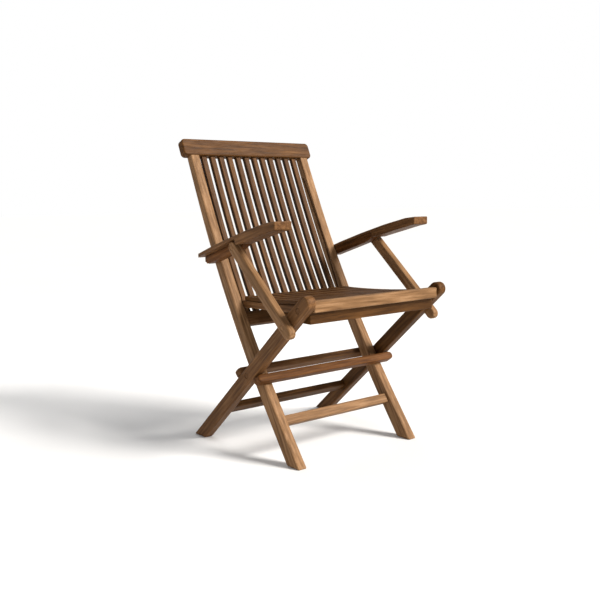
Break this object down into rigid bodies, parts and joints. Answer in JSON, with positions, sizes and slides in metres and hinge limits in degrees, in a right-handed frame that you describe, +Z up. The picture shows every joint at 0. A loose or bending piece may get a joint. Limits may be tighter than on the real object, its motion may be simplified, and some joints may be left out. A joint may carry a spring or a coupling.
{
  "type": "folding chair",
  "caption": "Folding wooden garden armchair: slatted back and dished slatted seat on two crossing leg frames, with armrests on slanted struts.",
  "frame": {"origin": "middle of the bounding box in plan, on the floor under the four feet", "axes": "+Z up, -Y towards the sitter's front, +X to the right when seen from the front"},
  "size_m": [0.5684, 0.6347, 0.9],
  "materials": {
    "teak": "oiled teak, fine grain along each piece",
    "teak_warm": "oiled teak, warmer tone",
    "teak_dark": "oiled teak, darker tone",
    "brass_fittings": "satin brass",
    "steel_pins": "plain steel pin"
  },
  "bodies": {
    "back_frame": {"left_post": "teak", "right_post": "teak", "top_rail": "teak_warm", "lower_back_rail": "teak", "back_slat_01": "teak", "back_slat_02": "teak_dark", "back_slat_03": "teak_warm", "back_slat_04": "teak", "back_slat_05": "teak_dark", "back_slat_06": "teak_warm", "back_slat_07": "teak", "back_slat_08": "teak_dark", "back_slat_09": "teak_warm", "back_slat_10": "teak", "back_slat_11": "teak_dark", "back_slat_12": "teak_warm", "front_mid_bar": "teak_warm", "front_stretcher": "teak", "left_crossing_bolt": "brass_fittings", "left_crossing_washer": "brass_fittings", "left_arm_screw": "brass_fittings", "right_crossing_bolt": "brass_fittings", "right_crossing_washer": "brass_fittings", "right_arm_screw": "brass_fittings"},
    "rear_legs": {"left_rear_leg": "teak", "right_rear_leg": "teak", "rear_mid_bar": "teak_warm", "rear_stretcher": "teak", "left_seat_bolt": "brass_fittings", "left_strut_bolt": "brass_fittings", "right_seat_bolt": "brass_fittings", "right_strut_bolt": "brass_fittings"},
    "seat": {"seat_front_rail": "teak_warm", "seat_under_rail": "teak_warm", "seat_middle_rail": "teak", "seat_rear_rail": "teak", "seat_side_rail_left": "teak", "seat_side_rail_right": "teak", "seat_slat_01": "teak", "seat_slat_02": "teak_dark", "seat_slat_03": "teak_warm", "seat_slat_04": "teak", "seat_slat_05": "teak_dark", "seat_slat_06": "teak_warm", "seat_slat_07": "teak", "seat_slat_08": "teak_dark", "seat_slat_09": "teak_warm", "seat_slat_10": "teak", "left_slide_pin": "steel_pins", "right_slide_pin": "steel_pins"},
    "left_armrest": {"left_arm": "teak_warm", "left_arm_cleat": "teak_warm", "left_arm_insert": "brass_fittings"},
    "right_armrest": {"right_arm": "teak_warm", "right_arm_cleat": "teak_warm", "right_arm_insert": "brass_fittings"},
    "left_strut_link": {"left_strut": "teak", "left_strut_top_bolt": "brass_fittings"},
    "right_strut_link": {"right_strut": "teak", "right_strut_top_bolt": "brass_fittings"}
  },
  "joints": [
    {"name": "fold", "type": "hinge", "parent": "back_frame", "child": "rear_legs", "pos_m": [0, -0.04481, 0.23044], "axis": [-1, 0, 0], "range_deg": [0, 57]},
    {"name": "seat_tilt", "type": "hinge", "parent": "rear_legs", "child": "seat", "pos_m": [0, -0.27595, 0.43703], "axis": [1, 0, 0], "range_deg": [0, 106]},
    {"name": "left_arm_turn", "type": "hinge", "parent": "back_frame", "child": "left_armrest", "pos_m": [-0.24, 0.1461, 0.538], "axis": [-1, 0, 0], "range_deg": [0, 90]},
    {"name": "left_strut_turn", "type": "hinge", "parent": "rear_legs", "child": "left_strut_link", "pos_m": [-0.24, -0.23861, 0.39165], "axis": [1, 0, 0], "range_deg": [0, 66]},
    {"name": "right_arm_turn", "type": "hinge", "parent": "back_frame", "child": "right_armrest", "pos_m": [0.24, 0.1461, 0.538], "axis": [-1, 0, 0], "range_deg": [0, 90]},
    {"name": "right_strut_turn", "type": "hinge", "parent": "rear_legs", "child": "right_strut_link", "pos_m": [0.24, -0.23861, 0.39165], "axis": [1, 0, 0], "range_deg": [0, 66]}
  ],
  "couplings": [
    {"joint": "seat_tilt", "follows": "fold", "ratio": 1.83},
    {"joint": "left_arm_turn", "follows": "fold", "ratio": 1.56},
    {"joint": "left_strut_turn", "follows": "fold", "ratio": 1.125},
    {"joint": "right_arm_turn", "follows": "fold", "ratio": 1.56},
    {"joint": "right_strut_turn", "follows": "fold", "ratio": 1.125}
  ]
}
